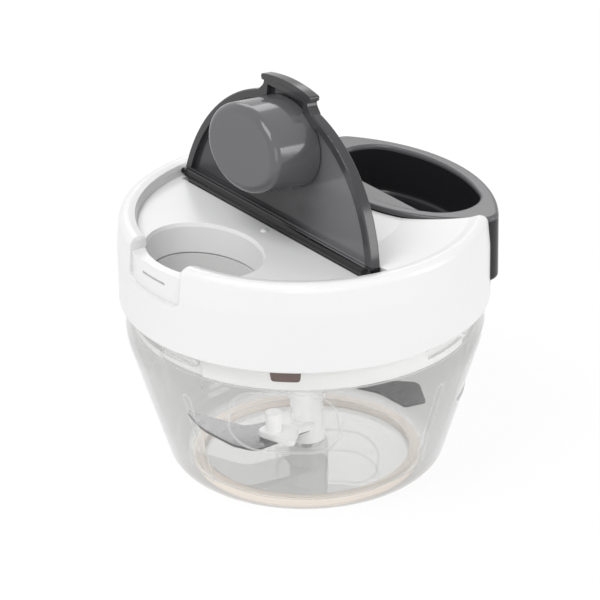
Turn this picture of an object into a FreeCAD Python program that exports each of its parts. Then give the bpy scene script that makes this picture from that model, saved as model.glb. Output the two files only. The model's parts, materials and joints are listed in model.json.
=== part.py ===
import FreeCAD, Part
import math
import os
from FreeCAD import Vector

# Pull-string food chopper, in millimetres, +Z up.
# The origin is on the bowl's axis, on the plane that the foot ring rests on.
# The handle points to +X and the feed hole to -X, and XZ is the mirror plane of the lid.

# Bowl
bowl_rim_z = 66.0
bowl_rim_inset = 0.3
bowl_shoulder_r = 63.2
bowl_shoulder_z = 51.9
bowl_shoulder_fillet = 22.0
bowl_cone_base_r = 48.0
bowl_cone_base_z = 3.0
bowl_base_z = 0.8
bowl_base_fillet = 9.0
bowl_wall = 2.2
bowl_floor_z = 5.0
bowl_floor_fillet = 8.0
bowl_band_bottom_z = 55.5
bowl_lip_fillet = 0.6
bowl_rib_count = 4
bowl_rib_start = 12.0
bowl_rib_r = 2.0
bowl_rib_proud = 0.7
bowl_rib_bottom_z = 11.0
bowl_rib_top_z = 46.5
bowl_panel_angle = 46.0
bowl_panel_half_top = 17.5
bowl_panel_half_bottom = 20.5
bowl_panel_bottom_z = 30.0
bowl_panel_top_z = 55.5
bowl_panel_depth = 0.5
bowl_panel_corner = 10.0
bowl_boss_r = 5.2
bowl_boss_height = 1.0

# Foot ring under the bowl
ring_inset = 7.5
ring_width = 4.0
ring_height = 3.2
ring_edge_fillet = 0.5

# Bayonet lugs inside the bowl rim, and their tracks in the lid's collar
lug_count = 3
lug_first_angle = 67.0
lug_half_length = 8.5
lug_bottom_z = 59.2
lug_top_z = 61.8
lug_reach = 1.4
lug_knob_r = 1.5
track_side_clearance = 1.5
track_radial_clearance = 0.4
track_height_clearance = 0.7
lock_angle = 20.0

# Lid skirt, rim and top
rim_clearance = 0.3
skirt_wall = 1.8
skirt_bottom_z = 64.5
skirt_bottom_fillet = 1.0
skirt_bend_z = 85.5
skirt_bend_fillet = 30.0
crest_inset = 1.1
crest_corner_z = 97.65
crest_fillet = 3.0
crest_width = 7.0
panel_edge_z = 96.1
panel_slope_width = 24.0
panel_top_z = 93.4
cavity_bend_z = 83.0
cavity_bend_fillet = 12.0
cavity_top_inset = 3.2
cavity_top_fillet = 1.5
deck_top_z = 92.4
deck_thickness = 2.0
deck_wall_inset = 7.1
deck_wall_flare = 1.5
deck_wall_straight = 2.4
deck_wall_fillet = 1.5
deck_corner_fillet = 0.3
deck_edge_clearance = 0.4
deck_nub_x = -16.9
deck_nub_r = 1.6
deck_nub_height = 0.8

# Rim notch for the lid flap's tab, with the finger recess below it
notch_side_clearance = 0.6
notch_floor_z = 92.4
notch_overrun = 7.9
notch_straight = 3.2
notch_flare = 1.1
notch_flare_fillet = 1.0
recess_bottom_z = 82.0
recess_depth = 1.3
recess_corner = 3.5
recess_slot_z = 88.0
recess_slot_half_width = 6.5
recess_slot_height = 0.9
recess_slot_depth = 1.0
recess_backing = 2.0

# Feed chute, oval
chute_inset = 23.0
chute_half_x = 17.05
chute_half_y = 23.4
chute_draft = 0.55
chute_lip = 1.25
chute_lip_flare = 0.7
chute_wall = 1.5
chute_seam_z = 81.5
chute_seam_gap = 0.4
chute_step = 0.5
chute_throat_z = 74.5
chute_spigot_half_x = 15.0
chute_spigot_half_y = 21.5
chute_spigot_wall = 1.0
chute_flange_width = 1.9
chute_flange_thickness = 1.5

# Plate that closes the lid from below, with the collar that dips into the bowl
gasket_thickness = 1.6
gasket_clearance = 0.2
gasket_edge_fillet = 0.3
plate_thickness = 2.2
collar_clearance = 0.5
collar_wall = 2.8
collar_bottom_z = 55.8
collar_edge_fillet = 0.6
window_angle = -132.9
window_half_top = 5.5
window_half_bottom = 4.9
window_bottom_z = 59.1
window_top_z = 63.8
window_corner = 1.2
window_depth = 1.2
plate_boss_r = 8.0
plate_boss_height = 1.3
plate_rail_height = 0.8
plate_rail_y = 15.0
plate_rail_width = 2.0
plate_rail_start_x = 30.0
plate_rail_end_x = 58.0

# Handle and its bay in the lid
handle_arc_reach = 7.5
handle_front_gap = 4.8
handle_back_reach = 2.6
handle_front_wall = 4.8
handle_back_wall = 4.7
handle_top_z = 95.3
handle_floor_z = 77.0
handle_tip_fillet = 6.0
handle_hollow_fillet = 13.5
handle_floor_fillet = 2.0
handle_edge_fillet = 1.2
handle_inner_fillet = 1.2
handle_bottom_fillet = 1.6
handle_shelf_x = 33.0
handle_shelf_top_z = 94.0
handle_shelf_thickness = 1.8
bay_clearance = 0.5
bay_wall = 1.8
bay_sill_gap = 0.4

# Lid flap with its tab and the plug that fills the feed chute
hinge_x = -11.3
hinge_z = 94.0
flap_open_angle = 96.6
flap_arc_x = -2.36
flap_edge_inset = 2.7
flap_top_z = 97.0
flap_thickness = 4.2
flap_plate_thickness = 2.4
flap_lip_width = 3.0
flap_edge_reach = 0.9
flap_edge_fillet = 0.5
flap_barrel_r = 2.45
flap_barrel_end_gap = 2.8
flap_barrel_chamfer = 3.4
flap_trench_clearance = 0.35
flap_bar_reach = 3.1
flap_groove_width = 0.4
flap_groove_depth = 0.6
tab_neck_half_width = 12.4
tab_shoulder = 2.6
tab_flare_fillet = 3.0
tab_lip_width = 2.2
tab_inset = 2.0
tab_plate_thickness = 2.2
tab_half_width = 14.2
tab_drop = 4.3
tab_edge_fillet = 0.6
plug_reach = 29.8
plug_half_x = 15.8
plug_half_y = 20.6
plug_draft = 0.7
plug_length = 19.4
plug_edge_fillet = 3.0
plug_groove_height = 0.6
plug_groove_depth = 0.7
plug_floor = 1.8
plug_wall = 1.8
hinge_pin_r = 1.0
hinge_pin_bite = 2.2
hinge_pin_depth = 8.0
pin_running_fit = 0.05

# Reel, spring and housing inside the lid
drum_r = 12.25
drum_wall = 1.6
cord_r = 0.7
cord_lay_gap = 0.05
cord_turns = 5
cord_pitch = 2.0
cord_bottom_z = 74.2
reel_bottom_z = 71.5
reel_web = 1.5
reel_side_gap = 0.8
reel_flange_thickness = 1.2
reel_top_flange_z = 85.2
reel_edge_fillet = 0.4
housing_inner_r = 15.8
housing_wall = 1.5
housing_top_z = 88.0
cover_thickness = 1.5
housing_post_r = 2.6
housing_post_offset = 3.4
housing_post_angles = (60.0, 120.0, 240.0, 300.0)
housing_window_height = 4.0
housing_window_low_y = -7.0
housing_window_high_y = 2.0
arbor_r = 3.6
arbor_shoulder = 0.8
arbor_edge_fillet = 0.3
arbor_bottom_z = 74.0
spring_inner_r = 4.2
spring_outer_r = 10.1
spring_strip = 0.3
spring_turns = 5.5
spring_bottom_z = 75.0
spring_height = 9.0
eyelet_bore_r = 2.6
eyelet_body_r = 3.2
eyelet_flange_r = 3.8
eyelet_flange_thickness = 0.6
lead_corner_offset = 0.2
lead_bend_reach = 1.5
lead_tail = 0.6
knot_r = 2.1
cord_bore_r = 1.0

# Drive from the reel to the blades
shaft_r = 3.0
shaft_bottom_z = 62.0
shaft_pin_r = 1.5
shaft_pin_top_z = 79.5
shaft_end_fillet = 0.4
shaft_end_gap = 0.5
shaft_running_fit = 0.05
bush_outer_r = 5.0
seal_thickness = 1.6
washer_outer_r = 7.0
washer_thickness = 0.5
socket_outer_r = 7.0
socket_bottom_z = 52.0
socket_edge_fillet = 0.8
socket_top_gap = 0.3
socket_bore_r = 5.8
socket_bore_top_z = 62.0
socket_key_r = 3.7
jaw_half_angle = 15.0
jaw_end_gap = 1.0
head_post_r = 3.0
head_fin_r = 5.5
head_top_z = 61.4
head_bottom_z = 51.0

# Blade unit
pivot_pin_r = 1.9
pivot_pin_bottom_z = 3.0
pivot_pin_top_z = 44.0
pivot_pin_fillet = 0.8
pivot_running_fit = 0.1
pivot_end_gap = 1.0
hub_bottom_gap = 0.6
hub_bottom_r = 6.5
hub_top_r = 4.8
hub_edge_fillet = 0.8
blade_thickness = 1.0
blade_bore_r = 4.7
clamp_thickness = 2.2
lower_blade_z = 12.4
middle_blade_z = 21.4
upper_blade_z = 31.0
clamp_post_r = 2.9
clamp_post_height = 7.2
clamp_post_x = -16.3
clamp_post_y = -2.5

# Screws
screw_shank_r = 1.1
screw_head_r = 2.5
screw_head_height = 1.5
screw_boss_r = 3.4
screw_hole_clearance = 0.2
screw_end_gap = 0.5
screw_slot_half_width = 0.3
plate_screw_length = 8.0
plate_screw_angles = (62.0, 100.0, 140.0)
plate_screw_insets = (3.2, 4.4, 3.2)
cover_screw_r = 0.9
cover_screw_head_r = 1.9
cover_screw_head_height = 0.8
cover_screw_length = 7.0

# How far a joined solid runs into its neighbour, and a cutter past the face that it opens
overlap = 0.5
past = 1.0
far = 200.0
up = Vector(0, 0, 1)

# Places that follow from the sizes above
bowl_cone_slope = (bowl_shoulder_r - bowl_cone_base_r) / (bowl_shoulder_z - bowl_cone_base_z)
bowl_rim_outer_r = bowl_shoulder_r - bowl_rim_inset
bowl_rim_inner_r = bowl_rim_outer_r - bowl_wall
ring_outer_r = bowl_cone_base_r - ring_inset
ring_inner_r = ring_outer_r - ring_width
lug_inner_r = bowl_rim_inner_r - lug_reach
lug_half_angle = math.degrees(lug_half_length / bowl_rim_inner_r)
skirt_inner_r = bowl_rim_outer_r + rim_clearance
skirt_outer_r = skirt_inner_r + skirt_wall
panel_edge_r = skirt_outer_r - crest_width
panel_flat_r = panel_edge_r - panel_slope_width
deck_wall_r = skirt_outer_r - deck_wall_inset
deck_wall_y = math.sqrt(deck_wall_r ** 2 - hinge_x ** 2)
deck_bottom_z = deck_top_z - deck_thickness
flap_heel_r = math.hypot(flap_edge_reach, flap_top_z - hinge_z)
deck_edge_x = hinge_x + flap_heel_r + deck_edge_clearance
notch_half_width = tab_half_width + notch_side_clearance
recess_face_r = skirt_outer_r - recess_depth
chute_x = chute_inset - skirt_outer_r
collar_outer_r = bowl_rim_inner_r - collar_clearance
collar_inner_r = collar_outer_r - collar_wall
gasket_top_z = bowl_rim_z + gasket_thickness
plate_top_z = gasket_top_z + plate_thickness
handle_front_x = housing_inner_r + handle_front_gap
handle_arc_x = skirt_outer_r + handle_arc_reach
handle_front_r = handle_arc_x - handle_front_x
handle_back_r = skirt_outer_r + handle_back_reach
handle_hollow_x = handle_front_x + handle_front_wall
handle_bottom_z = plate_top_z + plate_rail_height
bay_sill_z = handle_bottom_z - bay_sill_gap
flap_arc_r = deck_wall_r - flap_edge_inset
flap_bottom_z = flap_top_z - flap_thickness
flap_face_z = flap_top_z - flap_plate_thickness
flap_barrel_half_length = deck_wall_y - flap_barrel_end_gap
tab_outer_r = skirt_outer_r - tab_inset
hinge_pin_reach = deck_wall_y + hinge_pin_bite
reel_flange_r = housing_inner_r - reel_side_gap
housing_outer_r = housing_inner_r + housing_wall
housing_post_centre_r = housing_inner_r + housing_post_offset
seal_bottom_z = gasket_top_z - plate_boss_height
socket_top_z = seal_bottom_z - socket_top_gap
boss_top_z = reel_bottom_z - washer_thickness
cord_coil_r = drum_r + cord_lay_gap + cord_r
cord_exit_z = cord_bottom_z + cord_turns * cord_pitch
eyelet_x = handle_front_x - bay_clearance - bay_wall / 2
lead_corner_x = eyelet_x + lead_corner_offset
arbor_bore_r = shaft_pin_r + shaft_running_fit


# Outline through corners (u, v, fillet radius), each rounded by a tangent arc
def rounded_wire(corners, place):
    count = len(corners)
    starts = []
    ends = []
    middles = []
    for index in range(count):
        corner = Vector(corners[index][0], corners[index][1], 0)
        before = Vector(corners[index - 1][0], corners[index - 1][1], 0)
        after = Vector(corners[(index + 1) % count][0], corners[(index + 1) % count][1], 0)
        radius = corners[index][2] if len(corners[index]) > 2 else 0.0
        to_before = (before - corner).normalize()
        to_after = (after - corner).normalize()
        half = to_before.getAngle(to_after) / 2
        if radius > 0 and half < math.pi / 2 - 1e-6:
            reach = radius / math.tan(half)
            bisector = (to_before + to_after).normalize()
            centre = corner + bisector * (radius / math.sin(half))
            starts.append(corner + to_before * reach)
            ends.append(corner + to_after * reach)
            middles.append(centre - bisector * radius)
        else:
            starts.append(corner)
            ends.append(corner)
            middles.append(None)
    edges = []
    for index in range(count):
        if middles[index] is not None:
            ends_of_arc = (starts[index], middles[index], ends[index])
            edges.append(Part.Arc(*[place(p.x, p.y) for p in ends_of_arc]).toShape())
        run_start = ends[index]
        run_end = starts[(index + 1) % count]
        if run_start.distanceToPoint(run_end) > 1e-6:
            edges.append(Part.makeLine(place(run_start.x, run_start.y), place(run_end.x, run_end.y)))
    return Part.Wire(edges)


def turned(corners):
    wire = rounded_wire(corners, lambda r, z: Vector(r, 0, z))
    return Part.Face(wire).revolve(Vector(0, 0, 0), up, 360)


def plate(corners, bottom, height):
    wire = rounded_wire(corners, lambda x, y: Vector(x, y, bottom))
    return Part.Face(wire).extrude(up * height)


# Prism along X, from an outline in Y and Z
def side_prism(corners, start_x, length):
    wire = rounded_wire(corners, lambda y, z: Vector(start_x, y, z))
    return Part.Face(wire).extrude(Vector(length, 0, 0))


def disc(radius, bottom, top, x=0.0, y=0.0):
    return Part.makeCylinder(radius, top - bottom, Vector(x, y, bottom), up)


def tube(inner, outer, bottom, top, x=0.0, y=0.0):
    return disc(outer, bottom, top, x, y).cut(disc(inner, bottom, top, x, y))


def box(x0, x1, y0, y1, z0, z1):
    return Part.makeBox(x1 - x0, y1 - y0, z1 - z0, Vector(x0, y0, z0))


def oval_wire(half_x, half_y, x, z):
    # the ellipse's long axis runs along Y
    ellipse = Part.Ellipse(Vector(x, half_y, z), Vector(x - half_x, 0, z), Vector(x, 0, z))
    return Part.Wire(ellipse.toShape())


def oval(half_x, half_y, x, bottom, top):
    return Part.Face(oval_wire(half_x, half_y, x, bottom)).extrude(up * (top - bottom))


def oval_taper(bottom_half, bottom, top_half, top, x):
    wires = [oval_wire(bottom_half[0], bottom_half[1], x, bottom), oval_wire(top_half[0], top_half[1], x, top)]
    return Part.makeLoft(wires, True, True)


# Sector of a ring between two polar angles in degrees
def sector(inner, outer, bottom, top, start, end):
    low = math.radians(start)
    high = math.radians(end)
    middle = (low + high) / 2
    corners = []
    for radius in (inner, outer):
        arc_points = []
        for angle in (low, middle, high):
            arc_points.append(Vector(radius * math.cos(angle), radius * math.sin(angle), bottom))
        corners.append(arc_points)
    edges = [
        Part.Arc(*corners[0]).toShape(),
        Part.makeLine(corners[0][2], corners[1][2]),
        Part.Arc(*corners[1]).toShape(),
        Part.makeLine(corners[1][0], corners[0][0]),
    ]
    return Part.Face(Part.Wire(Part.__sortEdges__(edges))).extrude(up * (top - bottom))


def turned_about_axis(shape, angle):
    copy = shape.copy()
    copy.rotate(Vector(0, 0, 0), up, angle)
    return copy


def joined(first, others):
    return first.multiFuse(others).removeSplitter()


def polar(radius, angle, z=0.0):
    return Vector(radius * math.cos(math.radians(angle)), radius * math.sin(math.radians(angle)), z)


# Bowl
def bowl_outside(offset):
    base_r = bowl_cone_base_r - (bowl_cone_base_z - bowl_base_z) * bowl_cone_slope
    return turned([
        (0, bowl_base_z),
        (base_r + offset, bowl_base_z, bowl_base_fillet),
        (bowl_shoulder_r + offset, bowl_shoulder_z, bowl_shoulder_fillet),
        (bowl_rim_outer_r + offset, bowl_rim_z, bowl_lip_fillet),
        (0, bowl_rim_z),
    ])


def bowl_inside():
    floor_r = bowl_cone_base_r + (bowl_floor_z - bowl_cone_base_z) * bowl_cone_slope - bowl_wall
    return turned([
        (0, bowl_floor_z),
        (floor_r, bowl_floor_z, bowl_floor_fillet),
        (bowl_shoulder_r - bowl_wall, bowl_shoulder_z, bowl_shoulder_fillet),
        (bowl_rim_inner_r, bowl_band_bottom_z),
        (bowl_rim_inner_r, bowl_rim_z + past),
        (0, bowl_rim_z + past),
    ])


# Round bar with round ends, laid along the cone and sunk until only its back stands proud
def bowl_rib():
    lean = math.atan(bowl_cone_slope)
    inset = bowl_rib_r - bowl_rib_proud
    ends = []
    for z in (bowl_rib_bottom_z, bowl_rib_top_z):
        radius = bowl_cone_base_r + (z - bowl_cone_base_z) * bowl_cone_slope
        ends.append(Vector(radius - inset * math.cos(lean), 0, z + inset * math.sin(lean)))
    run = ends[1] - ends[0]
    rib = turned([
        (0, -bowl_rib_r),
        (bowl_rib_r, -bowl_rib_r, bowl_rib_r),
        (bowl_rib_r, run.Length + bowl_rib_r, bowl_rib_r),
        (0, run.Length + bowl_rib_r),
    ])
    rib.Placement = FreeCAD.Placement(ends[0], FreeCAD.Rotation(up, run))
    return rib


def bowl_panel(outside):
    layer = outside.cut(bowl_outside(-bowl_panel_depth))
    corners = [
        (-bowl_panel_half_bottom, bowl_panel_bottom_z, bowl_panel_corner),
        (bowl_panel_half_bottom, bowl_panel_bottom_z, bowl_panel_corner),
        (bowl_panel_half_top, bowl_panel_top_z, bowl_panel_corner),
        (-bowl_panel_half_top, bowl_panel_top_z, bowl_panel_corner),
    ]
    return side_prism(corners, 0, far).common(layer)


def bowl_lug(centre):
    start = centre - lug_half_angle
    end = centre + lug_half_angle
    root_r = bowl_rim_inner_r + overlap
    bar = sector(lug_inner_r, root_r, lug_bottom_z, lug_top_z, start, end)
    knob_base = polar(root_r, end, (lug_bottom_z + lug_top_z) / 2)
    knob = Part.makeCylinder(lug_knob_r, root_r - lug_inner_r, knob_base, polar(-1, end))
    return bar.fuse(knob)


def make_bowl():
    outside = bowl_outside(0)
    panel = bowl_panel(outside)
    rib = bowl_rib()
    body = outside
    for index in range(bowl_rib_count):
        turn = index * 360.0 / bowl_rib_count
        body = body.fuse(turned_about_axis(rib, bowl_rib_start + turn))
        body = body.cut(turned_about_axis(panel, bowl_panel_angle + turn))
    body = body.cut(bowl_inside())
    body = body.cut(tube(ring_inner_r, ring_outer_r, 0, ring_height))
    body = body.fuse(disc(bowl_boss_r, bowl_floor_z - overlap, bowl_floor_z + bowl_boss_height))
    for index in range(lug_count):
        body = body.fuse(bowl_lug(lug_first_angle + index * 360.0 / lug_count))
    body = body.cut(disc(pivot_pin_r, pivot_pin_bottom_z, far))
    return body.removeSplitter()


def make_base_ring():
    return turned([
        (ring_inner_r, 0, ring_edge_fillet),
        (ring_outer_r, 0, ring_edge_fillet),
        (ring_outer_r, ring_height),
        (ring_inner_r, ring_height),
    ])


def make_pivot_pin():
    return turned([
        (0, pivot_pin_bottom_z),
        (pivot_pin_r, pivot_pin_bottom_z),
        (pivot_pin_r, pivot_pin_top_z, pivot_pin_fillet),
        (0, pivot_pin_top_z),
    ])


# Blade unit
def lower_blade_outline():
    return [
        (-3.0, -6.0), (-27.5, -7.0, 4.0), (-31.5, 1.0, 6.0), (-33.2, 18.0, 30.0), (-29.6, 32.8, 0.6),
        (-26.0, 24.0, 20.0), (-20.0, 9.5, 6.0), (-3.0, 6.0),
    ]


def upper_blade_outline():
    return [
        (0.0, -4.0), (11.8, -26.8, 14.0), (12.4, -41.0, 1.0), (20.2, -42.8, 1.0), (27.2, -30.0, 4.0),
        (17.0, -20.0, 14.0), (6.0, 0.0),
    ]


def middle_blade_outline():
    return [
        (6.0, -3.0), (20.0, 14.0, 12.0), (27.0, 24.0, 6.0), (22.5, 38.5, 1.0), (15.5, 40.5, 1.0),
        (12.0, 26.0, 12.0), (-3.0, 5.0),
    ]


def make_blade(outline, height):
    steel = plate(outline, height, blade_thickness)
    return steel.cut(disc(blade_bore_r, height - past, height + blade_thickness + past))


def make_lower_clamp():
    top = lower_blade_z + blade_thickness
    corners = [(-2.0, -7.5), (-8.5, -7.0, 2.0), (-16.4, -14.2, 1.5), (-21.4, 1.2, 2.5), (-2.0, 6.5)]
    arm = plate(corners, top, clamp_thickness)
    post = disc(clamp_post_r, top, top + clamp_thickness + clamp_post_height, clamp_post_x, clamp_post_y)
    return arm.fuse(post).cut(hub_body()).removeSplitter()


def make_middle_clamp():
    top = middle_blade_z + blade_thickness
    corners = [(5.0, -5.0), (16.5, 11.0, 2.0), (11.0, 18.0, 2.0), (-5.0, 4.0)]
    return plate(corners, top, clamp_thickness).cut(hub_body())


def make_upper_clamp():
    top = upper_blade_z + blade_thickness
    corners = [(-5.0, -3.0), (5.2, -19.0, 1.5), (14.0, -20.6, 1.5), (6.0, 1.5)]
    return plate(corners, top, clamp_thickness).cut(hub_body())


def hub_body():
    bottom = bowl_floor_z + bowl_boss_height + hub_bottom_gap
    return turned([
        (0, bottom),
        (hub_bottom_r, bottom, hub_edge_fillet),
        (hub_top_r, head_bottom_z, hub_edge_fillet),
        (0, head_bottom_z),
    ])


def make_hub():
    additions = [disc(head_post_r, head_bottom_z - overlap, head_top_z)]
    for side in (0.0, 180.0):
        start = side - jaw_half_angle
        end = side + jaw_half_angle
        fin_bottom = socket_bottom_z + jaw_end_gap
        additions.append(sector(head_post_r - overlap, head_fin_r, fin_bottom, head_top_z, start, end))
    hub = joined(hub_body(), additions)
    hub = hub.cut(disc(pivot_pin_r + pivot_running_fit, 0, pivot_pin_top_z + pivot_end_gap))
    hub = hub.cut(make_blade(lower_blade_outline(), lower_blade_z))
    hub = hub.cut(make_blade(middle_blade_outline(), middle_blade_z))
    hub = hub.cut(make_blade(upper_blade_outline(), upper_blade_z))
    return hub.removeSplitter()


# Lid
def lid_outside():
    return turned([
        (0, skirt_bottom_z),
        (skirt_outer_r, skirt_bottom_z, skirt_bottom_fillet),
        (skirt_outer_r, skirt_bend_z, skirt_bend_fillet),
        (skirt_outer_r - crest_inset, crest_corner_z, crest_fillet),
        (panel_edge_r, panel_edge_z),
        (panel_flat_r, panel_top_z),
        (0, panel_top_z),
    ])


def lid_cavity():
    return turned([
        (0, skirt_bottom_z - past),
        (skirt_inner_r, skirt_bottom_z - past),
        (skirt_inner_r, cavity_bend_z, cavity_bend_fillet),
        (skirt_inner_r - cavity_top_inset, deck_bottom_z, cavity_top_fillet),
        (0, deck_bottom_z),
    ])


def deck_cut():
    top = crest_corner_z + past
    pocket = turned([
        (0, deck_top_z),
        (deck_wall_r, deck_top_z, deck_corner_fillet),
        (deck_wall_r, deck_top_z + deck_wall_straight, deck_wall_fillet),
        (deck_wall_r + deck_wall_flare, top),
        (0, top),
    ])
    return pocket.common(box(-far, deck_edge_x, -far, far, deck_top_z - past, far))


# Trench that lets the flap's barrel turn below the deck
def trench_cut():
    half = flap_barrel_half_length + overlap
    start = Vector(hinge_x, -half, hinge_z)
    return Part.makeCylinder(flap_barrel_r + flap_trench_clearance, 2 * half, start, Vector(0, 1, 0))


def deck_nub():
    ball = Part.makeSphere(deck_nub_r, Vector(deck_nub_x, 0, deck_top_z + deck_nub_height - deck_nub_r))
    return ball.common(disc(far, deck_top_z - overlap, far))


def notch_cut():
    top = crest_corner_z + past
    flare_z = notch_floor_z + notch_straight
    corners = [
        (-notch_half_width, notch_floor_z),
        (notch_half_width, notch_floor_z),
        (notch_half_width, flare_z, notch_flare_fillet),
        (notch_half_width + notch_flare, top),
        (-notch_half_width - notch_flare, top),
        (-notch_half_width, flare_z, notch_flare_fillet),
    ]
    start_x = -skirt_outer_r - past
    return side_prism(corners, start_x, notch_overrun - deck_wall_r - start_x)


def recess_cut():
    corners = [
        (-notch_half_width, recess_bottom_z, recess_corner),
        (notch_half_width, recess_bottom_z, recess_corner),
        (notch_half_width, notch_floor_z + past),
        (-notch_half_width, notch_floor_z + past),
    ]
    face = side_prism(corners, -skirt_outer_r - past, skirt_outer_r / 2)
    return face.cut(disc(recess_face_r, recess_bottom_z - past, notch_floor_z + 2 * past))


def recess_slot():
    low = recess_slot_z - recess_slot_height / 2
    high = recess_slot_z + recess_slot_height / 2
    radius = recess_slot_height * 0.45
    corners = [
        (-recess_slot_half_width, low, radius),
        (recess_slot_half_width, low, radius),
        (recess_slot_half_width, high, radius),
        (-recess_slot_half_width, high, radius),
    ]
    slot = side_prism(corners, -skirt_outer_r - past, skirt_outer_r / 2)
    return slot.cut(disc(recess_face_r - recess_slot_depth, low - past, high + past))


# Thicker wall behind the finger recess
def recess_back():
    half = math.degrees(math.asin(notch_half_width / recess_face_r)) + math.degrees(past / recess_face_r)
    inner = recess_face_r - recess_backing
    bottom = recess_bottom_z - recess_backing
    return sector(inner, skirt_inner_r + overlap, bottom, deck_bottom_z + overlap, 180 - half, 180 + half)


def screw_places():
    places = []
    for angle, inset in zip(plate_screw_angles, plate_screw_insets):
        places.append(polar(collar_inner_r - inset, angle))
        places.append(polar(collar_inner_r - inset, -angle))
    return places


def bay_cylinder(radius, bottom, top):
    return disc(radius, bottom, top, handle_arc_x)


def chute_mouth_cut(bottom):
    mouth = (chute_half_x + chute_draft, chute_half_y + chute_draft)
    lip = (mouth[0] + chute_lip_flare, mouth[1] + chute_lip_flare)
    lip_z = deck_top_z - chute_lip
    throat = oval_taper((chute_half_x, chute_half_y), bottom, mouth, lip_z, chute_x)
    return throat.fuse(oval_taper(mouth, lip_z, lip, deck_top_z, chute_x))


def make_lid_shell():
    cavity = lid_cavity()
    roof_z = panel_top_z - overlap
    bay_r = handle_front_r + bay_clearance
    chute_bottom = chute_seam_z + chute_seam_gap / 2
    additions = [
        bay_cylinder(bay_r + bay_wall, plate_top_z, roof_z).common(cavity),
        oval(chute_half_x + chute_wall, chute_half_y + chute_wall, chute_x, chute_bottom, deck_top_z - overlap),
        recess_back(),
    ]
    for place in screw_places():
        additions.append(disc(screw_boss_r, plate_top_z, roof_z, place.x, place.y).common(cavity))
    shell = joined(lid_outside().cut(cavity), additions)
    shell = shell.cut(bay_cylinder(bay_r, bay_sill_z, far))
    shell = shell.cut(bay_cylinder(bay_r, plate_top_z - past, bay_sill_z + past).common(cavity))
    for cutter in (deck_cut(), notch_cut(), recess_cut(), recess_slot(), trench_cut(), chute_mouth_cut(chute_bottom)):
        shell = shell.cut(cutter)
    for place in screw_places():
        hole_top = gasket_top_z + plate_screw_length + screw_end_gap
        shell = shell.cut(disc(screw_shank_r, plate_top_z - past, hole_top, place.x, place.y))
    bore_start = Vector(eyelet_x - bay_wall, 0, cord_exit_z)
    shell = shell.cut(Part.makeCylinder(eyelet_body_r, 2 * bay_wall, bore_start, Vector(1, 0, 0)))
    return shell.cut(make_hinge_pins()).fuse(deck_nub()).removeSplitter()


def make_gasket():
    inner = collar_outer_r + gasket_clearance
    return turned([
        (inner, bowl_rim_z, gasket_edge_fillet),
        (bowl_rim_outer_r, bowl_rim_z, gasket_edge_fillet),
        (bowl_rim_outer_r, gasket_top_z, gasket_edge_fillet),
        (inner, gasket_top_z, gasket_edge_fillet),
    ])


def make_indicator():
    corners = [
        (-window_half_bottom, window_bottom_z, window_corner),
        (window_half_bottom, window_bottom_z, window_corner),
        (window_half_top, window_top_z, window_corner),
        (-window_half_top, window_top_z, window_corner),
    ]
    prism = side_prism(corners, collar_outer_r / 2, collar_outer_r)
    ring = tube(collar_outer_r - window_depth, collar_outer_r, window_bottom_z - past, window_top_z + past)
    return turned_about_axis(prism.common(ring), window_angle)


# Way in from below for one lug, and the way round that locks it
def lug_track(centre):
    floor_r = lug_inner_r - track_radial_clearance
    outer_r = collar_outer_r + past
    side = math.degrees(track_side_clearance / bowl_rim_inner_r)
    knob = math.degrees(lug_knob_r / bowl_rim_inner_r)
    start = centre - lug_half_angle - side
    end = centre + lug_half_angle + knob + side
    low = lug_bottom_z - track_height_clearance
    high = lug_top_z + track_height_clearance
    entry = sector(floor_r, outer_r, collar_bottom_z - past, high, start, end)
    return entry.fuse(sector(floor_r, outer_r, low, high, start - lock_angle, end))


def make_base_plate():
    body = disc(bowl_rim_outer_r, gasket_top_z, plate_top_z)
    collar = turned([
        (collar_inner_r, gasket_top_z + overlap),
        (collar_inner_r, collar_bottom_z, collar_edge_fillet),
        (collar_outer_r, collar_bottom_z, collar_edge_fillet),
        (collar_outer_r, gasket_top_z + overlap),
    ])
    additions = [collar, disc(plate_boss_r, seal_bottom_z, boss_top_z)]
    half_rail = plate_rail_width / 2
    for y in (-plate_rail_y, plate_rail_y):
        additions.append(box(plate_rail_start_x, plate_rail_end_x, y - half_rail, y + half_rail,
                             plate_top_z - overlap, handle_bottom_z))
    body = joined(body, additions)
    body = body.cut(disc(bush_outer_r, seal_bottom_z - past, boss_top_z + past))
    spigot_x = chute_spigot_half_x + chute_spigot_wall
    spigot_y = chute_spigot_half_y + chute_spigot_wall
    body = body.cut(oval(spigot_x, spigot_y, chute_x, gasket_top_z - past, plate_top_z + past))
    for index in range(lug_count):
        body = body.cut(lug_track(lug_first_angle + index * 360.0 / lug_count))
    body = body.cut(make_indicator())
    for place in screw_places():
        hole_r = screw_shank_r + screw_hole_clearance
        body = body.cut(disc(hole_r, gasket_top_z - past, plate_top_z + past, place.x, place.y))
    return body.removeSplitter()


def make_chute_lower():
    top = chute_seam_z - chute_seam_gap / 2
    outer = (chute_half_x + chute_wall, chute_half_y + chute_wall)
    spigot = (chute_spigot_half_x + chute_spigot_wall, chute_spigot_half_y + chute_spigot_wall)
    flange = (outer[0] + chute_flange_width, outer[1] + chute_flange_width)
    body = joined(oval(outer[0], outer[1], chute_x, plate_top_z, top), [
        oval(spigot[0], spigot[1], chute_x, gasket_top_z, plate_top_z + overlap),
        oval(flange[0], flange[1], chute_x, plate_top_z, plate_top_z + chute_flange_thickness),
    ])
    throat = (chute_half_x - chute_step, chute_half_y - chute_step)
    end = (chute_spigot_half_x, chute_spigot_half_y)
    body = body.cut(oval_taper(end, gasket_top_z, throat, chute_throat_z, chute_x))
    return body.cut(oval(throat[0], throat[1], chute_x, chute_throat_z, top)).removeSplitter()


# Reel, spring and housing
def housing_posts(radius, bottom, top):
    posts = []
    for angle in housing_post_angles:
        place = polar(housing_post_centre_r, angle)
        posts.append(disc(radius, bottom, top, place.x, place.y))
    return posts


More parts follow.
